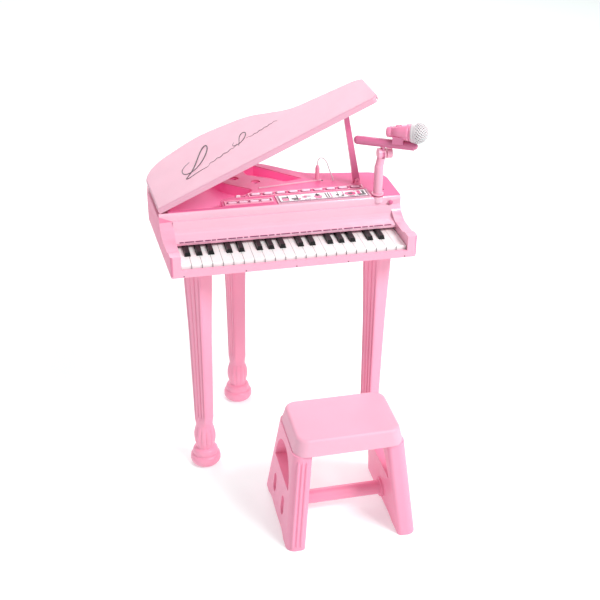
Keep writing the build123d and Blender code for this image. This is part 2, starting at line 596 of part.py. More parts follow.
def make_side_frame(side):
    """One A-shaped side of the stool with its arched opening."""
    depth = 35.0
    shape = make_face(Polyline((-107, -6), (107, -6), (68, SEAT_BOTTOM + 4), (-68, SEAT_BOTTOM + 4), close=True))
    arch = make_face([Line((-58, 104), (58, 104)), Spline((58, 104), (47, 138), (26, 160), (0, 166), (-26, 160),
                                                          (-47, 138), (-58, 104))])
    foot = make_face([Line((80, -10), (-80, -10)), Spline((-80, -10), (-60, 4), (0, 6), (60, 4), (80, -10))])
    plane = Plane(origin=(0, 0, 0), x_dir=(0, 1, 0), z_dir=(1, 0, 0))
    panel = extrude(plane * shape, depth)
    slopes = [e for e in panel.edges() if abs((e @ 0).X - (e @ 1).X) < 0.01 and abs((e @ 0).Z - (e @ 1).Z) > 50]
    slopes = sorted(slopes, key=lambda e: e.center().X)
    panel = fillet(slopes[:2], 8.0)
    outer = [e for e in panel.edges() if abs((e @ 0).X - depth) < 0.01 and abs((e @ 1).X - depth) < 0.01
             and abs((e @ 0).Z - (e @ 1).Z) > 50]
    panel = fillet(outer, 17.0)
    panel -= extrude(plane * arch, depth)
    panel -= extrude(plane * foot, depth)
    for y in (-34, 34):
        panel -= Pos(depth, y, 52) * Rot(0, 90, 0) * extrude(SlotOverall(40, 20), -4.5)
    panel = Pos(-depth, 0, 0) * panel
    panel = Pos(124.0, 0, 0) * Rot(0, -STOOL_FRAME_TILT, 0) * panel
    panel &= block(-300, 300, -300, 300, 0, SEAT_BOTTOM)
    tenon = block(80, 95, -46, 46, SEAT_BOTTOM - 14, SEAT_BOTTOM + 11)
    panel += tenon
    panel += rod_x(80, 100, 0, BAR_Z, 19.0)
    if side < 0:
        panel = mirror(panel, about=Plane.YZ)
    return Pos(STOOL_X, STOOL_Y, 0) * panel


def make_crossbar(frames):
    """Bar between the side frames."""
    bar_solid = rod_x(STOOL_X - 108, STOOL_X + 108, STOOL_Y, BAR_Z, BAR_R)
    for frame in frames:
        bar_solid -= frame
    return max(bar_solid.solids(), key=lambda s: s.volume)


# ---------------------------------------------------------------- build everything
parts["upper_case"] = make_upper_case()
parts["lower_case"] = make_lower_case()
parts["battery_cover"] = make_battery_cover()
parts["case_screws"] = make_screws()
parts["speaker"] = make_speaker()
parts["circuit_board"] = make_boards()
for number in range(WHITE_COUNT):
    parts[f"white_key_{number + 1:02d}"] = make_white_key(number)
for number, (_index, centre) in enumerate(sharp_centres()):
    parts[f"sharp_key_{number + 1:02d}"] = make_sharp_key(centre)
parts["instrument_buttons"] = make_instrument_buttons()
parts["function_buttons"] = make_function_buttons()
parts["power_switch"] = make_power_switch()
parts["lid"] = make_lid()
parts["lid_prop"] = make_prop()
parts["mic_post"] = make_mic_post()
parts["mic_boom"] = make_mic_boom()
parts["mic_body"] = make_mic_body()
parts["mic_grille"] = make_mic_grille()
parts["mic_plug"] = make_mic_plug()
parts["mic_lead"] = make_mic_lead()
for name, (leg_x, leg_y, leg_turn) in LEG_PLACES.items():
    parts[name] = make_leg(leg_x, leg_y, leg_turn)
parts["stool_seat"] = make_stool_seat()
side_frames = [make_side_frame(-1), make_side_frame(1)]
parts["stool_side_frames"] = Compound([s for f in side_frames for s in f.solids()])
parts["stool_crossbar"] = make_crossbar(side_frames)

# The row's origin: on the floor, under the middle of the whole set.
boxes = [shape.bounding_box() for shape in parts.values()]
centre_x = (min(b.min.X for b in boxes) + max(b.max.X for b in boxes)) / 2
centre_y = (min(b.min.Y for b in boxes) + max(b.max.Y for b in boxes)) / 2
print("origin in the modelling frame", round(centre_x, 3), round(centre_y, 3))
print("height", round(max(b.max.Z for b in boxes), 2), "lowest", round(min(b.min.Z for b in boxes), 3))
for name, shape in parts.items():
    export_step(Pos(-centre_x, -centre_y, 0) * shape, f"parts/{name}.step")
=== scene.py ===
"""Looks of the toy grand piano: materials, legs, lining, prints, lead, light and camera."""
import json
import math

import bmesh
import bpy
from mathutils import Matrix, Vector


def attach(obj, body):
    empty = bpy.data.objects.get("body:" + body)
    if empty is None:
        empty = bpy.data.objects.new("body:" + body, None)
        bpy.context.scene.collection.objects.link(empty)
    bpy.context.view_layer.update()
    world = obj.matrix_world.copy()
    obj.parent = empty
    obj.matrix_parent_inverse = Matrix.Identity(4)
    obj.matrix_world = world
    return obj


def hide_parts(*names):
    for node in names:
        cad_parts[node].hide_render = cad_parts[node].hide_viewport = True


MM = 0.001
ORIGIN = Vector((10.805, 50.183, 0.0))

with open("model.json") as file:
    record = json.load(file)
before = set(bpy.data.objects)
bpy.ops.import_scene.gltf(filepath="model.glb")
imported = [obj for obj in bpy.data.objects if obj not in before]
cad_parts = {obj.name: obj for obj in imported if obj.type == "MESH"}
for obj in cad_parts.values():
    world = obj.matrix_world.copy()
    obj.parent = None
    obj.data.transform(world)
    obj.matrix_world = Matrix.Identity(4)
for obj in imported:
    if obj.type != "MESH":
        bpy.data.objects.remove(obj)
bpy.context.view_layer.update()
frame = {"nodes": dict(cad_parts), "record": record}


def at(x, y, z):
    """Point of the modelling frame (mm) in the row frame (m)."""
    return (Vector((x, y, z)) - ORIGIN) * MM


# ---------------------------------------------------------------- camera
CAMERA_PLACE = (-358.1, -1582.6, 1302.9)
CAMERA_YAW = 13.04
CAMERA_PITCH = 29.33
CAMERA_ROLL = 0.72
LENS = 60.06


def make_camera():
    """Camera in front of the bass side, looking down at the keys."""
    yaw, pitch, roll = (math.radians(v) for v in (CAMERA_YAW, CAMERA_PITCH, CAMERA_ROLL))
    forward = Vector((math.sin(yaw) * math.cos(pitch), math.cos(yaw) * math.cos(pitch), -math.sin(pitch)))
    right = Vector((math.cos(yaw), -math.sin(yaw), 0))
    up = right.cross(forward)
    right, up = (right * math.cos(roll) + up * math.sin(roll), up * math.cos(roll) - right * math.sin(roll))
    data = bpy.data.cameras.new("camera")
    data.lens = LENS
    data.sensor_width = 36.0
    data.clip_start = 0.05
    camera = bpy.data.objects.new("camera", data)
    bpy.context.scene.collection.objects.link(camera)
    turn = Matrix((right, up, -forward)).transposed().to_4x4()
    camera.matrix_world = Matrix.Translation(at(*CAMERA_PLACE)) @ turn
    bpy.context.scene.camera = camera


make_camera()


# ---------------------------------------------------------------- light and floor
WORLD_STRENGTH = 0.58
LIGHTS = {
    "main": {"place": (1.5, -1.6, 2.8), "aim": (0.05, 0, 0.35), "size": 1.1, "watts": 88},
    "back": {"place": (-0.2, 3.4, 2.4), "aim": (0, 0, 0.5), "size": 3.2, "watts": 92},
}
FLOOR_HALF = 14.0
FLOOR_DROP = 0.0003
FLOOR_COLOR = (0.66, 0.80, 0.765, 1)      # slightly green, against the pink light thrown on it
FLOOR_GLOW = (1, 0.84, 0.88, 1)           # balances the green where the floor is fully lit
FLOOR_GLOW_STRENGTH = 0.38


def area_light(name, place, aim, size, watts):
    """Soft square light at a place, turned to aim, both in metres."""
    data = bpy.data.lights.new(name, "AREA")
    data.shape = "SQUARE"
    data.size = size
    data.energy = watts
    light = bpy.data.objects.new(name, data)
    bpy.context.scene.collection.objects.link(light)
    light.location = place
    light.rotation_euler = (Vector(aim) - Vector(place)).to_track_quat("-Z", "Y").to_euler()


def make_light():
    """White surroundings, a main light from the front and right, and a wide one from behind."""
    world = bpy.data.worlds.new("studio")
    bpy.context.scene.world = world
    world.use_nodes = True
    background = world.node_tree.nodes["Background"]
    background.inputs["Color"].default_value = (1, 1, 1, 1)
    background.inputs["Strength"].default_value = WORLD_STRENGTH
    for name, light in LIGHTS.items():
        area_light(name, light["place"], light["aim"], light["size"], light["watts"])
    scene = bpy.context.scene
    scene.view_settings.view_transform = "Standard"
    scene.view_settings.look = "None"


def make_floor():
    """Plain pale floor."""
    mesh = bpy.data.meshes.new("floor")
    half = FLOOR_HALF
    corners = [(-half, -half, 0), (half, -half, 0), (half, half, 0), (-half, half, 0)]
    mesh.from_pydata(corners, [], [(0, 1, 2, 3)])
    floor = bpy.data.objects.new("floor", mesh)
    bpy.context.scene.collection.objects.link(floor)
    floor.location.z = -FLOOR_DROP
    material = bpy.data.materials.new("floor_white")
    material.use_nodes = True
    shader = material.node_tree.nodes["Principled BSDF"]
    shader.inputs["Base Color"].default_value = FLOOR_COLOR
    shader.inputs["Roughness"].default_value = 0.7
    shader.inputs["Specular IOR Level"].default_value = 0.1
    shader.inputs["Emission Color"].default_value = FLOOR_GLOW
    shader.inputs["Emission Strength"].default_value = FLOOR_GLOW_STRENGTH
    mesh.materials.append(material)


make_light()
make_floor()


# ---------------------------------------------------------------- materials
def plastic(name, color, roughness=0.32, mottle=0.02, grain=0.05, grain_scale=1600, scatter=0.06, coat=0.0,
            gloss=0.7):
    """Moulded plastic: slight unevenness of colour, smudged gloss, fine mould grain."""
    material = bpy.data.materials.new(name)
    material.use_nodes = True
    nodes, links = material.node_tree.nodes, material.node_tree.links
    shader = nodes["Principled BSDF"]
    place = nodes.new("ShaderNodeTexCoord")

    cloud = nodes.new("ShaderNodeTexNoise")
    cloud.inputs["Scale"].default_value = 14
    cloud.inputs["Detail"].default_value = 4
    links.new(place.outputs["Object"], cloud.inputs["Vector"])
    ramp = nodes.new("ShaderNodeValToRGB")
    ramp.color_ramp.elements[0].position = 0.3
    ramp.color_ramp.elements[1].position = 0.7
    ramp.color_ramp.elements[0].color = (*[c * (1 - mottle) for c in color], 1)
    ramp.color_ramp.elements[1].color = (*[min(1, c * (1 + mottle)) for c in color], 1)
    links.new(cloud.outputs["Fac"], ramp.inputs["Fac"])
    links.new(ramp.outputs["Color"], shader.inputs["Base Color"])

    smudge = nodes.new("ShaderNodeTexNoise")
    smudge.inputs["Scale"].default_value = 55
    smudge.inputs["Detail"].default_value = 5
    links.new(place.outputs["Object"], smudge.inputs["Vector"])
    spread = nodes.new("ShaderNodeMapRange")
    spread.inputs["To Min"].default_value = roughness * 0.8
    spread.inputs["To Max"].default_value = roughness * 1.25
    links.new(smudge.outputs["Fac"], spread.inputs["Value"])
    links.new(spread.outputs["Result"], shader.inputs["Roughness"])

    fine = nodes.new("ShaderNodeTexNoise")
    fine.inputs["Scale"].default_value = grain_scale
    fine.inputs["Detail"].default_value = 2
    links.new(place.outputs["Object"], fine.inputs["Vector"])
    bump = nodes.new("ShaderNodeBump")
    bump.inputs["Strength"].default_value = grain
    bump.inputs["Distance"].default_value = 0.0003
    links.new(fine.outputs["Fac"], bump.inputs["Height"])
    links.new(bump.outputs["Normal"], shader.inputs["Normal"])

    shader.inputs["Subsurface Weight"].default_value = scatter
    shader.inputs["Subsurface Radius"].default_value = (0.006, 0.002, 0.002)
    shader.inputs["Subsurface Scale"].default_value = 1.0
    shader.inputs["Specular IOR Level"].default_value = gloss
    shader.inputs["Coat Weight"].default_value = coat
    shader.inputs["Coat Roughness"].default_value = 0.12
    return material


def metal(name, color, roughness):
    """Plated metal with fine turning marks."""
    material = plastic(name, color, roughness, mottle=0.08, grain=0.2, grain_scale=3000, scatter=0.0)
    material.node_tree.nodes["Principled BSDF"].inputs["Metallic"].default_value = 1.0
    return material


LOOKS = {
    "case_pink": plastic("case_pink", (0.88, 0.40, 0.54), 0.3, gloss=0.45),
    "lid_pink": plastic("lid_pink", (0.72, 0.37, 0.48), 0.42, grain=0.08, gloss=0.35),
    "leg_pink": plastic("leg_pink", (0.92, 0.35, 0.50), 0.38, gloss=0.45),
    "stool_pink": plastic("stool_pink", (0.92, 0.34, 0.50), 0.42, gloss=0.45),
    "rose_plastic": plastic("rose_plastic", (0.66, 0.14, 0.30), 0.34),
    "mic_pink": plastic("mic_pink", (0.84, 0.26, 0.43), 0.3),
    "grille_white": plastic("grille_white", (0.66, 0.62, 0.64), 0.4),
    "key_white": plastic("key_white", (0.93, 0.91, 0.90), 0.16, mottle=0.01, grain=0.01, coat=0.4),
    "key_black": plastic("key_black", (0.008, 0.007, 0.008), 0.3, grain=0.12, scatter=0.0, gloss=0.25),
    "button_white": plastic("button_white", (0.88, 0.80, 0.83), 0.3, mottle=0.02),
    "button_pink": plastic("button_pink", (0.90, 0.52, 0.66), 0.28, mottle=0.03),
    "steel": metal("steel", (0.55, 0.55, 0.56), 0.35),
    "speaker_black": plastic("speaker_black", (0.03, 0.03, 0.03), 0.6, grain=0.3, grain_scale=900,
                             scatter=0.0),
    "board_green": plastic("board_green", (0.03, 0.16, 0.07), 0.4, mottle=0.2, scatter=0.0),
    "lead_white": plastic("lead_white", (0.80, 0.76, 0.77), 0.45, mottle=0.02),
}
PRINT_DARK = plastic("print_dark", (0.05, 0.035, 0.045), 0.45, scatter=0.0)
# Plum is real print in the marks over the keys, and painted shadow in the gap round the picture buttons.
PRINT_AND_SHADE_PLUM = plastic("print_and_shade_plum", (0.24, 0.03, 0.12), 0.4, scatter=0.0)
PRINT_ROSE = plastic("print_rose", (0.70, 0.08, 0.26), 0.4, scatter=0.0)
RIM_PLUM = plastic("rim_plum", (0.34, 0.04, 0.15), 0.4, scatter=0.0, gloss=0.2)
# Painted shade: the deep hot pink of the wells is the saturated pink the case takes in shade under the lid,
# not a colour of the plastic.
WELL_SHADE_PINK = plastic("well_painted_shade_pink", (0.98, 0.30, 0.56), 0.5, gloss=0.15)
# Painted light: the well linings are given a weak glow, though no lamp is in them; without it they come out
# too dark.
WELL_PAINTED_GLOW = WELL_SHADE_PINK.node_tree.nodes["Principled BSDF"]
WELL_PAINTED_GLOW.inputs["Emission Color"].default_value = (1.0, 0.08, 0.32, 1)
WELL_PAINTED_GLOW.inputs["Emission Strength"].default_value = 0.12
HOLE_DARK = plastic("hole_dark", (0.10, 0.03, 0.05), 0.6, scatter=0.0)
OTHER_LOOKS = {
    # Painted light: the seat is a paler copy of the stool pink, standing in for the light falling on it.
    "stool_seat": plastic("seat_painted_light_pink", (0.86, 0.43, 0.56), 0.45, gloss=0.5),
    # Painted shade: the boom is a darker copy of the microphone pink, standing in for the shade under the
    # microphone.
    "mic_boom": plastic("boom_painted_shade_pink", (0.64, 0.16, 0.31), 0.32),
}
# Painted shade on the flat of the deck and the outer walls, painted reflection on the fallboard: the case is
# one pink plastic throughout.
DECK_SHADE_PINK = plastic("deck_painted_shade_pink", (0.77, 0.16, 0.34), 0.5, gloss=0.15)
SIDE_SHADE_PINK = plastic("side_painted_shade_pink", (0.86, 0.26, 0.42), 0.45, gloss=0.15)
FALLBOARD_SHEEN_PINK = plastic("fallboard_painted_sheen_pink", (0.86, 0.50, 0.62), 0.16, grain=0.02, coat=0.3)


def dress_cad_nodes():
    """Give every CAD node the material of its slot, or its own one."""
    for part in frame["record"]["subparts"]:
        node = frame["nodes"][part["node"]]
        material = OTHER_LOOKS.get(part["node"], LOOKS[part["material_slot"]])
        if not node.material_slots:
            node.data.materials.append(material)
        for item in node.material_slots:
            item.material = material


dress_cad_nodes()

DECK = 540.0


def dress_upper_case():
    """Painted shade: deeper, duller pink on the flat of the deck and on the outer walls; painted reflection:
    paler pink on the fallboard, beside its real gloss.
    """
    node = frame["nodes"]["upper_case"]
    first = len(node.data.materials)
    for look in (DECK_SHADE_PINK, SIDE_SHADE_PINK, FALLBOARD_SHEEN_PINK):
        node.data.materials.append(look)
    for face in node.data.polygons:
        place = node.matrix_world @ face.center / MM + ORIGIN
        if face.normal.z > 0.9 and abs(place.z - DECK) < 0.4:
            face.material_index = first
        elif abs(face.normal.z) < 0.5 and (abs(place.x) > 224 or place.y > 130):
            face.material_index = first + 1
        elif abs(place.x) < 216 and 60 < place.y < 114 and place.z > 494 and face.normal.y < 0.3:
            face.material_index = first + 2


dress_upper_case()


# ---------------------------------------------------------------- mesh helpers
def piece(name, verts, faces, material, body, slot, smooth=True):
    """New mesh object from points in the row frame, riding on a body."""
    mesh = bpy.data.meshes.new(name)
    mesh.from_pydata([tuple(v) for v in verts], [], faces)
    mesh.materials.append(material)
    build = bmesh.new()
    build.from_mesh(mesh)
    bmesh.ops.recalc_face_normals(build, faces=build.faces)
    build.to_mesh(mesh)
    build.free()
    if smooth:
        mesh.shade_smooth()
    obj = bpy.data.objects.new(name, mesh)
    bpy.context.scene.collection.objects.link(obj)
    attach(obj, body)
    return obj


def rings_mesh(rings):
    """Vertices and faces of a stack of equal rings, closed at both ends."""
    count = len(rings[0])
    verts = [v for ring in rings for v in ring]
    faces = []
    for i in range(len(rings) - 1):
        for j in range(count):
            k = (j + 1) % count
            faces.append((i * count + j, i * count + k, (i + 1) * count + k, (i + 1) * count + j))
    faces.append(tuple(range(count)))
    faces.append(tuple((len(rings) - 1) * count + j for j in range(count)))
    return verts, faces


def join_meshes(parts):
    """One list of vertices and faces from several."""
    verts, faces = [], []
    for more_verts, more_faces in parts:
        start = len(verts)
        verts += list(more_verts)
        faces += [tuple(start + i for i in face) for face in more_faces]
    return verts, faces


def along(points, value):
    """Value at a place, in straight steps between (place, value) pairs in rising order."""
    if value <= points[0][0]:
        return points[0][1]
    for (a, va), (b, vb) in zip(points, points[1:]):
        if value <= b:
            t = (value - a) / (b - a)
            return va + (vb - va) * t
    return points[-1][1]


def rounded_plate(outline, z0, z1, edge=0.4):
    """Small raised plate: vertices and faces from an outline in mm, with a bevelled top edge."""
    cx = sum(p[0] for p in outline) / len(outline)
    cy = sum(p[1] for p in outline) / len(outline)
    reach = max(math.hypot(x - cx, y - cy) for x, y in outline)
    shrink = 1 - edge / reach

    def ring(scale, z):
        return [at(cx + (x - cx) * scale, cy + (y - cy) * scale, z) for x, y in outline]
    return rings_mesh([ring(1, z0), ring(1, z1 - edge * 0.6), ring(shrink, z1)])


def oval_outline(cx, cy, width, depth, count=20):
    """Outline of a slot-shaped oval."""
    radius = depth / 2
    reach = width / 2 - radius
    points = []
    for side, start in ((1, -90), (-1, 90)):
        for i in range(count // 2 + 1):
            a = math.radians(start + 180 * i / (count // 2))
            points.append((cx + side * reach + radius * math.cos(a), cy + radius * math.sin(a)))
    return points


def box_outline(x0, x1, y0, y1):
    """Outline of a rectangle."""
    return [(x0, y0), (x1, y0), (x1, y1), (x0, y1)]


# ---------------------------------------------------------------- legs
# Each leg: (x, y, turn in degrees); each form below: (height, side or radius) in mm.
LEGS = {"leg_front_left": (-173, 59, 45), "leg_front_right": (173, 59, 59), "leg_rear": (-70, 273, 65)}
LEG_SIDE = [(92, 29.6), (120, 29.8), (174, 31.0), (279, 33.6), (323, 35.4), (378, 38.6), (410, 40.8),
            (463.4, 42)]
BULB = [(38, 17.6), (44, 18.6), (50, 20.2), (56, 21.6), (63, 22.1), (70, 21.9), (78, 20.6), (84, 19.0),
        (92, 16.8)]
FOOT = [(0, 23), (1.5, 26), (3, 27.6), (5, 28.9), (8.5, 30.5), (12, 30.6), (15.5, 30.3), (18.5, 29.6),
        (20.5, 28.4), (22, 26.4), (22.6, 25.2), (23.4, 25.0), (24.5, 25.3), (27, 25.7), (30, 25.4),
        (33, 24.4), (35.5, 22.8), (37, 20.6), (37.6, 18.2)]
LEG_TURN_STEPS = 192
REED_TOP = 447.0
REED_LOW = 106.0
REED_PITCH = 0.27
REED_DEPTH = 4.4
LOBES = 12


def squarish(side, angle, power=7.0):
    """Radius of a rounded square at an angle."""
    c, s = abs(math.cos(angle)), abs(math.sin(angle))
    return side / 2 / (c ** power + s ** power) ** (1 / power)


def reed_drop(angle, height, side, radius):
    """How far the reeded faces lie below the plain square at this point."""
    if abs(math.sin(angle)) < 0.72:
        return 0.0
    across = radius * math.cos(angle) / side
    if abs(across) > 1.5 * REED_PITCH:
        return 0.0
    offset = (across / REED_PITCH + 0.5) % 1.0 - 0.5
    arch = REED_TOP - 26 * offset * offset * 2
    foot = REED_LOW + 20 * offset * offset * 2
    if not foot < height < arch:
        return 0.0
    fade = min(1.0, (arch - height) / 2.0, (height - foot) / 4.0)
    crown = math.sqrt(max(0.0, 1 - (2 * offset) ** 2))
    return REED_DEPTH * (0.18 + 0.82 * (1 - crown)) * fade


def leg_radius(angle, height):
    """Radius of the leg at an angle and a height."""
    if height <= FOOT[-1][0]:
        return along(FOOT, height)
    if height < BULB[-1][0]:
        swell = along(BULB, height)
        depth = 2.3 * math.sin(math.pi * (height - BULB[0][0]) / (BULB[-1][0] - BULB[0][0])) ** 0.6
        lobe = abs(math.cos(angle * LOBES / 2)) ** 0.55
        return swell - depth * (1 - lobe)
    side = along(LEG_SIDE, height)
    radius = squarish(side, angle)
    if height > 453:
        return radius
    if height > 451:
        return radius - 0.9
    merge = min(1.0, (height - BULB[-1][0]) / 16.0)
    if merge < 1.0:
        radius = radius * merge + BULB[-1][1] * (1 - merge)
    return radius - reed_drop(angle, height, side, radius)


def leg_heights():
    """Rings close together where the form turns, wider apart on the shaft."""
    heights = [h for h, _r in FOOT]
    heights += [38 + 1.6 * i for i in range(34)]
    heights += [92.5 + 1.5 * i for i in range(22)]
    heights += [128 + 8.0 * i for i in range(38)]
    heights += [432 + 0.9 * i for i in range(20)]
    return sorted(set(heights)) + [450.8, 451.2, 452.8, 453.2, 458, 463.4]


def make_legs():
    """Reeded square legs with fluted bulbs and stepped round feet."""
    heights = leg_heights()
    for name, (x, y, turn) in LEGS.items():
        rings = []
        for height in heights:
            ring = []
            for i in range(LEG_TURN_STEPS):
                angle = 2 * math.pi * i / LEG_TURN_STEPS
                radius = leg_radius(angle, height)
                across = angle - math.radians(turn)
                ring.append(at(x + radius * math.cos(across), y + radius * math.sin(across), height))
            rings.append(ring)
        verts, faces = rings_mesh(rings)
        leg = piece(name + "_moulded", verts, faces, LOOKS["leg_pink"], "case", "leg_pink")
        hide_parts(name)


make_legs()


# ---------------------------------------------------------------- deck
WELL_FLOOR = 518.0
BASS_WELL = [(-114, 114, 4), (-114, 148, 6), (-60, 164, 8), (-44, 184, 10), (-102, 232, 60), (-124, 322, 20),
             (-190, 312, 30), (-212.5, 268, 30), (-212.5, 114, 4)]
TREBLE_WELL = [(24, 210, 8), (-2, 234, 30), (-46, 260, 12), (-50, 300, 12), (-22, 308, 3), (61, 221, 3)]
BOSSES = [(-33, 222), (-72, 246)]
TONES = [(-95 + 21 * i, 126) for i in range(4)]
RHYTHMS = [(-45 + 24.7 * i, 157) for i in range(9)]


def rounded_outline(corners, shrink=0.0, steps=6):
    """Closed outline with an arc at each (x, y, radius) corner, moved inwards by shrink."""
    points = []
    count = len(corners)
    for i, (x, y, radius) in enumerate(corners):
        here = Vector((x, y))
        back = (Vector(corners[i - 1][:2]) - here).normalized()
        ahead = (Vector(corners[(i + 1) % count][:2]) - here).normalized()
        half = back.angle(ahead) / 2
        reach = radius / math.tan(half)
        centre = here + (back + ahead).normalized() * radius / math.sin(half)
        start = here + back * reach - centre
        end = here + ahead * reach - centre
        for j in range(steps + 1):
            spoke = start.lerp(end, j / steps).normalized() * radius
            points.append(centre + spoke)
    area = sum(a.x * b.y - b.x * a.y for a, b in zip(points, points[1:] + points[:1]))
    sign = 1 if area > 0 else -1
    moved = []
    for a, b, c in zip(points[-1:] + points[:-1], points, points[1:] + points[:1]):
        run = (c - a).normalized()
        moved.append((b.x - sign * run.y * shrink, b.y + sign * run.x * shrink))
    return moved


def pan(corners):
    """Thin lining of a well, a sheet that carries the painted shade: floor and walls in one closed piece."""
    outer = rounded_outline(corners, 0.12)
    inner = rounded_outline(corners, 0.9)

    def level(outline, z):
        return [at(x, y, z) for x, y in outline]
    low, high = WELL_FLOOR + 0.1, DECK - 1.6
    inner_low = WELL_FLOOR + 0.9
    return rings_mesh([level(outer, low), level(outer, high), level(inner, high), level(inner, inner_low)])


def ring_plate(outer, inner, z0, z1):
    """Flat raised ring between two outlines of equal point count."""
    count = len(outer)
    rings = [[at(x, y, z0) for x, y in inner], [at(x, y, z0) for x, y in outer],
             [at(x, y, z1) for x, y in outer], [at(x, y, z1) for x, y in inner]]
    verts = [v for ring in rings for v in ring]
    faces = []
    for i in range(4):
        n = (i + 1) % 4
        for j in range(count):
            k = (j + 1) % count
            faces.append((i * count + j, i * count + k, n * count + k, n * count + j))
    return verts, faces


def disc(x, y, z0, z1, radius, count=20):
    """Small round plate with a bevelled edge."""
    turns = [2 * math.pi * i / count for i in range(count)]
    outline = [(x + radius * math.cos(a), y + radius * math.sin(a)) for a in turns]
    return rounded_plate(outline, z0, z1, min(0.4, radius * 0.3))


def make_deck_details():
    """Painted-shade linings of the wells, recessed bosses with painted-shade collars, rims and frames of the
    controls, ridge behind the rear row.
    """
    # The well linings are sheets that carry the painted shade and weak painted glow of the wells.
    verts, faces = join_meshes([pan(BASS_WELL), pan(TREBLE_WELL)])
    piece("well_painted_shade_lining", verts, faces, WELL_SHADE_PINK, "case", "rose_plastic", smooth=False)

    screws, collars = [], []
    for x, y in BOSSES:
        screws.append(disc(x, y, DECK - 6.1, DECK - 4.4, 3.2))
        outline = [oval_outline(x, y, 2 * r, 2 * r, 28) for r in (8.6, 5.2)]
        collars.append(ring_plate(outline[0], outline[1], DECK - 6.1, DECK - 3.2))
    piece("boss_screws", *join_meshes(screws), HOLE_DARK, "case", "steel")
    # The boss collars carry the same painted shade and glow as the well linings.
    piece("boss_collars", *join_meshes(collars), WELL_SHADE_PINK, "case", "rose_plastic", smooth=False)

    rims = []
    for x, y in TONES + RHYTHMS:
        outer = oval_outline(x, y, 20.8, 12.8)
        inner = oval_outline(x, y, 18.0, 8.0)
        rims.append(ring_plate(outer, inner, DECK - 0.4, DECK + 1.4))
    piece("button_rims", *join_meshes(rims), RIM_PLUM, "case", "rose_plastic", smooth=False)

    tone_frame = (box_outline(-109.5, -17.5, 117.2, 134.5), box_outline(-107.0, -20.0, 119.4, 132.4))
    rhythm_frame = (box_outline(-59.0, 167.0, 149.0, 165.0), box_outline(-57.4, 165.4, 150.4, 163.6))
    frames = [ring_plate(*tone_frame, DECK - 0.4, DECK + 2.2)]
    frames.append(ring_plate(*rhythm_frame, DECK - 0.4, DECK + 1.3))
    piece("button_frames", *join_meshes(frames), LOOKS["case_pink"], "case", "case_pink", smooth=False)

    start, end = Vector((-33, 188)), Vector((95, 205))
    ridge = []
    side = Vector((start.y - end.y, end.x - start.x)).normalized()
    for step in range(9):
        a = math.pi * step / 8
        offset = side * (2.4 * math.cos(a))
        ridge.append([at(*(start + offset), DECK - 0.3 + 2.2 * math.sin(a)),
                      at(*(end + offset), DECK - 0.3 + 2.2 * math.sin(a))])
    verts = [v for pair in ridge for v in pair]
    faces = [(2 * i, 2 * i + 1, 2 * i + 3, 2 * i + 2) for i in range(8)]
    faces += [tuple(2 * i for i in range(9)), tuple(2 * i + 1 for i in range(9)), (0, 1, 17, 16)]
    piece("deck_ridge", verts, faces, LOOKS["lid_pink"], "case", "lid_pink", smooth=False)

    dots = [disc(97, 202, DECK - 0.2, DECK + 0.5, 2.2), disc(203, 136, DECK - 0.2, DECK + 0.5, 1.8),
            disc(-62, 160, DECK - 0.2, DECK + 0.4, 1.6)]
    piece("deck_dots", *join_meshes(dots), HOLE_DARK, "case", "steel")


make_deck_details()


# ---------------------------------------------------------------- picture buttons
PAD_X0, PAD_PITCH = -5.0, 21.2
PAD_Y0, PAD_Y1 = 111.0, 136.5
PAD_TOP = DECK + 2.6
# Each motif: (shape, across, along, width, depth, dark) in mm from the middle of its pad.
MOTIFS = [
    [("o", 0, -3, 11, 8, 0), ("o", 0, 2, 10, 4, 1), ("b", 5, 5, 1.2, 9, 1)],
    [("o", -3, -3, 7, 7, 1), ("b", 2, 2, 1.8, 14, 1), ("o", 4, -4, 5, 5, 0)],
    [("b", 0, 0, 12, 1.8, 1), ("o", -5, 0, 6, 7, 0), ("b", 3, 4, 8, 1.4, 0)],
    [("o", 0, -4, 10, 9, 0), ("o", 0, 3, 7, 6, 1), ("b", 0, 7, 1.4, 6, 1)],
    [("b", -4, 0, 1.5, 14, 1), ("b", 0, 1, 1.5, 14, 1), ("b", 4, 2, 1.5, 12, 0)],
    [("o", -4, -2, 5, 4, 1), ("b", -2, 4, 1.3, 11, 1), ("o", 5, -4, 5, 4, 1), ("b", 7, 2, 1.3, 11, 0)],
    [("o", 0, 0, 12, 12, 0), ("o", 0, 0, 6, 6, 1)],
    [("b", 0, -5, 13, 3, 1), ("b", -3, 2, 4, 9, 0), ("b", 4, 2, 3, 9, 1)],
]


def held(value, limit):
    """Value kept between -limit and limit."""
    return max(-limit, min(limit, value))


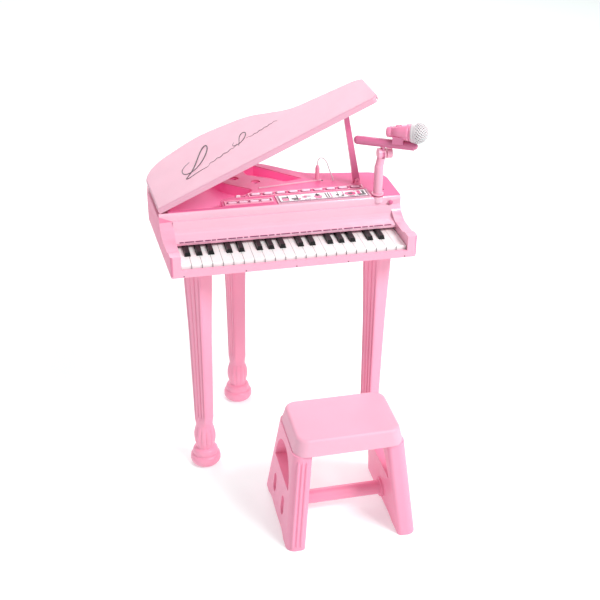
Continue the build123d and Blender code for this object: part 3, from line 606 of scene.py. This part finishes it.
def make_pad_prints():
    """Generic shapes and a caption bar on each picture button, and the painted shadow gap round them, a dark
    plum ring.
    """
    dark, rose = [], []
    mid_y = (PAD_Y0 + PAD_Y1) / 2
    for i, motif in enumerate(MOTIFS):
        mid_x = PAD_X0 + PAD_PITCH * (i + 0.5)
        for shape, across, forward, width, depth, is_dark in motif:
            if shape == "o":
                half_x, half_y = 0.68 * max(width, depth), 0.88 * min(width, depth)
            else:
                half_x, half_y = 0.85 * width, 0.8 * depth
            half_x, half_y = min(half_x, 8.6), min(half_y, 10.8)
            x = mid_x + held(across * 1.2, 9.0 - half_x)
            y = mid_y + held(forward * 1.45, 11.2 - half_y)
            if shape == "o":
                outline = oval_outline(x, y, 2 * max(half_x, half_y), 2 * min(half_x, half_y), 16)
            else:
                outline = box_outline(x - half_x, x + half_x, y - half_y, y + half_y)
            z0, z1 = PAD_TOP - 0.05, PAD_TOP + 0.14 + 0.04 * is_dark
            (dark if is_dark else rose).append(rounded_plate(outline, z0, z1, 0.1))
        dark.append(rounded_plate(box_outline(mid_x - 6.5, mid_x + 6.5, PAD_Y0 + 1.2, PAD_Y0 + 3.4),
                                  PAD_TOP - 0.05, PAD_TOP + 0.12, 0.1))
    for group, material, name in ((dark, PRINT_DARK, "pad_marks_dark"), (rose, PRINT_ROSE, "pad_marks_rose")):
        piece(name, *join_meshes(group), material, "instrument_buttons", "button_white", smooth=False)

    # The dark plum ring round the picture buttons is a painted shadow gap between them and their frame.
    x0, x1 = PAD_X0 - 0.3, PAD_X0 + PAD_PITCH * 8 + 0.3
    shadow_gap = ring_plate(box_outline(x0 - 3.0, x1 + 3.0, PAD_Y0 - 4.4, PAD_Y1 + 2.8),
                          box_outline(x0, x1, PAD_Y0 - 0.3, PAD_Y1 + 0.3), DECK - 2.0, DECK + 1.9)
    piece("pad_shadow_gap", *shadow_gap, PRINT_AND_SHADE_PLUM, "case", "rose_plastic", smooth=False)
    lip = ring_plate(box_outline(x0 - 5.4, x1 + 5.4, PAD_Y0 - 6.0, PAD_Y1 + 5.2),
                     box_outline(x0 - 3.0, x1 + 3.0, PAD_Y0 - 4.4, PAD_Y1 + 2.8), DECK - 0.4, DECK + 1.9)
    piece("pad_frame", *lip, LOOKS["lid_pink"], "case", "lid_pink", smooth=False)


make_pad_prints()


# ---------------------------------------------------------------- keyboard trim
KEY_PITCH = 19.0
KEYBED_HALF = 209.0


def upright_ring(x, y, z, radius, count):
    """Ring of points in an upright plane facing the front."""
    turns = [2 * math.pi * i / count for i in range(count)]
    return [at(x + radius * math.cos(a), y, z + radius * math.sin(a)) for a in turns]


def make_keyboard_trim():
    """Row of marks over the keys, pins between the keys, screw dots under the front rail, knob cap."""
    marks = []
    x, i = -203.0, 0
    while x < 200:
        length = 7.5 + 3.2 * ((i * 7) % 4)
        marks.append(rounded_plate(box_outline(x, min(x + length, 203), 65.2, 67.6), 495.6, 497.5, 0.2))
        x += length + 2.0 + 0.7 * (i % 3)
        i += 1
    piece("key_marks", *join_meshes(marks), PRINT_AND_SHADE_PLUM, "case", "rose_plastic", smooth=False)
    pins = []
    for n in range(23):
        x = -KEYBED_HALF + KEY_PITCH * n
        pins.append(rounded_plate(box_outline(x - 0.35, x + 0.35, -1.3, -0.6), 476.9, 484.1, 0.1))
    piece("key_pins", *join_meshes(pins), PRINT_DARK, "case", "steel", smooth=False)
    dots = []
    for x in (-205, -93, 0, 97, 205):
        back, front = upright_ring(x, -7.8, 466.0, 1.3, 12), upright_ring(x, -8.4, 466.0, 1.1, 12)
        dots.append(rings_mesh([back, front]))
    piece("rail_dots", *join_meshes(dots), HOLE_DARK, "case", "steel")
    profile = ((98.0, 4.3), (96.4, 4.3), (95.6, 3.7), (95.2, 2.0))
    knob = [upright_ring(207, y, 529, radius, 24) for y, radius in profile]
    piece("ledge_knob", *rings_mesh(knob), LOOKS["rose_plastic"], "case", "rose_plastic")


make_keyboard_trim()


# ---------------------------------------------------------------- lid flourish
HINGE_X, HINGE_Z = -228.0, 545.0
LID_OPEN = math.radians(24.8)
LID_FACE = 7.0


def on_lid(x, y, lift):
    """Point over the lid's outer face, from where it lies on the closed lid."""
    run, rise = x - HINGE_X, LID_FACE + lift
    return at(HINGE_X + run * math.cos(LID_OPEN) - rise * math.sin(LID_OPEN), y,
              HINGE_Z + run * math.sin(LID_OPEN) + rise * math.cos(LID_OPEN))


def stroke(name, points, width):
    """Flat painted stroke on the lid through a few points, thinner at its ends."""
    curve = bpy.data.curves.new(name, "CURVE")
    curve.dimensions = "3D"
    curve.bevel_depth = width / 2 * MM
    curve.bevel_resolution = 2
    curve.resolution_u = 8
    spline = curve.splines.new("NURBS")
    spline.points.add(len(points) - 1)
    for i, (point, (x, y)) in enumerate(zip(spline.points, points)):
        point.co = (*on_lid(x, y, 0.0), 1.0)
        point.radius = 0.35 + 0.65 * math.sin(math.pi * (i + 0.4) / len(points)) * (0.6 + 0.4 * (i % 2))
    spline.order_u = 4
    spline.use_endpoint_u = True
    curve.materials.append(PRINT_DARK)
    obj = bpy.data.objects.new(name, curve)
    bpy.context.scene.collection.objects.link(obj)
    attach(obj, "lid")


def make_flourish():
    """Decorative swirls and waves across the lid; they spell nothing."""
    big = [(-150, 236), (-168, 226), (-172, 200), (-158, 182), (-134, 196), (-112, 236), (-104, 272),
           (-112, 280), (-126, 252), (-142, 206), (-156, 180), (-168, 170), (-160, 164),
           (-140, 176), (-118, 176)]
    stroke("flourish_big", big, 3.0)
    waves = [(-118, 176)]
    for i in range(9):
        waves.append((-112 + 7.5 * i, 178 + i * 2.4 + (13 if i % 2 == 0 else 0)))
    stroke("flourish_waves", waves, 1.9)
    second = [(-56, 222), (-64, 210), (-52, 200), (-34, 214), (-24, 242), (-34, 250), (-44, 232), (-46, 208),
              (-50, 196)]
    stroke("flourish_second", second, 2.3)
    tail = [(-30, 214)]
    for i in range(12):
        tail.append((-24 + 5.6 * i, 206 + i * 1.2 + (10 if i % 2 == 0 else 0)))
    stroke("flourish_tail", tail, 1.7)


make_flourish()


# ---------------------------------------------------------------- microphone
BOOM_TURN = math.radians(30)
KNUCKLE = Vector((189.5, 112.0, 624.0))
BOOM_Z = 645.0


def boom_point(along_boom, rise=0.0):
    """Point on or above the boom's axis, in the modelling frame."""
    return Vector((KNUCKLE.x + along_boom * math.cos(BOOM_TURN), KNUCKLE.y - along_boom * math.sin(BOOM_TURN),
                   BOOM_Z + rise))


MIC_BACK, MIC_FRONT = boom_point(6.0, 22.5), boom_point(53.0, 25.5)
MIC_AXIS = (MIC_FRONT - MIC_BACK).normalized()
MIC_SIDE = MIC_AXIS.cross(Vector((0, 0, 1))).normalized()
MIC_UP = MIC_SIDE.cross(MIC_AXIS)


def turned(start, profile, count=64):
    """Rings about the microphone's axis from (distance, radius) pairs."""
    rings = []
    for reach, radius in profile:
        middle = start + MIC_AXIS * reach
        ring = []
        for i in range(count):
            a = 2 * math.pi * i / count
            ring.append(at(*(middle + (MIC_SIDE * math.cos(a) + MIC_UP * math.sin(a)) * radius)))
        rings.append(ring)
    return rings_mesh(rings)


def make_microphone():
    """Body with rounded back and step rings, pierced ball grille, collar, slide switch."""
    body = [(0.0, 7.0), (0.5, 8.4), (1.6, 9.3), (3.4, 9.8), (9, 10.4), (9.4, 10.0), (10.4, 10.0),
            (10.8, 10.6), (26, 13.2), (38, 15.2), (42, 15.9), (42.4, 15.3), (43.4, 15.4), (43.8, 16.2),
            (47.1, 16.8)]
    shell = piece("mic_body_turned", *turned(MIC_BACK, body), LOOKS["mic_pink"], "mic_arm", "mic_pink")
    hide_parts("mic_body")

    build = bmesh.new()
    bmesh.ops.create_icosphere(build, subdivisions=6, radius=1.0)
    centre = MIC_FRONT + MIC_AXIS * 12
    holes = []
    golden = math.pi * (3 - math.sqrt(5))
    for i in range(170):
        z = 1 - (i + 0.5) / 170 * 1.15
        radius = math.sqrt(max(0.0, 1 - z * z))
        turn = golden * i
        holes.append(MIC_AXIS * z + (MIC_SIDE * math.cos(turn) + MIC_UP * math.sin(turn)) * radius)
    hole_reach = 0.062
    for vert in build.verts:
        way = vert.co.normalized()
        nearest = max(way.dot(h) for h in holes)
        gap = math.acos(min(1.0, nearest))
        depth = 1.5 * max(0.0, 1 - (gap / hole_reach) ** 4)
        vert.co = at(*(centre + way * (19.6 - depth)))
    for face in build.faces:
        way = (face.calc_center_median() - at(*centre)).normalized()
        gap = math.acos(min(1.0, max(way.dot(h) for h in holes)))
        face.material_index = 1 if gap < hole_reach * 0.82 else 0
        face.smooth = True
    mesh = bpy.data.meshes.new("mic_ball")
    build.to_mesh(mesh)
    build.free()
    mesh.materials.append(LOOKS["grille_white"])
    mesh.materials.append(HOLE_DARK)
    ball = bpy.data.objects.new("mic_ball", mesh)
    bpy.context.scene.collection.objects.link(ball)
    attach(ball, "mic_arm")
    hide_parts("mic_grille")

    collar = [(-0.6, 15.8), (-0.3, 17.0), (0.6, 17.7), (2.4, 18.0), (4.2, 17.9), (5.2, 17.2), (5.6, 16.0)]
    piece("mic_collar", *turned(MIC_FRONT, collar), LOOKS["grille_white"], "mic_arm", "grille_white")

    switch = []
    for reach, half in ((18, 3.0), (28, 3.0)):
        middle = MIC_BACK + MIC_AXIS * reach + MIC_UP * (10.6 + reach * 0.085)
        switch.append([at(*(middle + MIC_SIDE * a + MIC_UP * b))
                       for a, b in ((-half, -0.8), (half, -0.8), (half * 0.7, 1.1), (-half * 0.7, 1.1))])
    piece("mic_switch", *rings_mesh(switch), LOOKS["rose_plastic"], "mic_arm", "rose_plastic", smooth=False)


make_microphone()


# ---------------------------------------------------------------- stool ribs
STOOL_X, STOOL_Y = 58.5, -136.0
STOOL_LEAN = math.tan(math.radians(6))


def make_stool_ribs():
    """Three moulded ribs down the front and the back edge of the left side."""
    ribs = []
    for side in (-1, 1):
        for off in (9.6, 17.4, 25.2):
            rings = []
            for step in range(25):
                z = 3.0 + (178 - 3.0) * step / 24
                fade = min(1.0, math.sin(math.pi * step / 24) * 6) ** 0.5 if 0 < step < 24 else 0.05
                x = STOOL_X - (124 - off) + z * STOOL_LEAN
                y = STOOL_Y + side * (107 - 0.2 * (z + 6) - 1.6)
                ring = []
                for i in range(12):
                    a = 2 * math.pi * i / 12
                    ring.append(at(x + 3.3 * fade * math.cos(a), y + 3.3 * fade * math.sin(a), z))
                rings.append(ring)
            ribs.append(rings_mesh(rings))
    piece("stool_ribs", *join_meshes(ribs), LOOKS["stool_pink"], "stool", "stool_pink")


make_stool_ribs()


# ---------------------------------------------------------------- lead
LEAD_D = 0.0024
LEAD_ROUTE = [
    (0.0880, 0.2060, 0.5720), (0.0880, 0.2060, 0.5790), (0.0906, 0.2052, 0.5860), (0.0975, 0.2040, 0.5875),
    (0.1035, 0.2026, 0.5820), (0.1075, 0.2014, 0.5730), (0.1110, 0.2002, 0.5610), (0.1152, 0.1988, 0.5510),
    (0.1180, 0.1980, 0.5440), (0.1180, 0.1980, 0.5370),
]


def make_lead():
    """Thin limp lead from the plug over to its hole in the deck."""
    curve = bpy.data.curves.new("mic_lead_cord", "CURVE")
    curve.dimensions = "3D"
    curve.bevel_depth = LEAD_D / 2
    curve.bevel_resolution = 4
    curve.resolution_u = 10
    spline = curve.splines.new("NURBS")
    spline.points.add(len(LEAD_ROUTE) - 1)
    for point, place in zip(spline.points, LEAD_ROUTE):
        point.co = (*(Vector(place) - ORIGIN * MM), 1.0)
    spline.order_u = 3
    spline.use_endpoint_u = True
    curve.materials.append(LOOKS["lead_white"])
    lead = bpy.data.objects.new("mic_lead_cord", curve)
    bpy.context.scene.collection.objects.link(lead)
    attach(lead, "case")
    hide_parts("mic_lead")


make_lead()
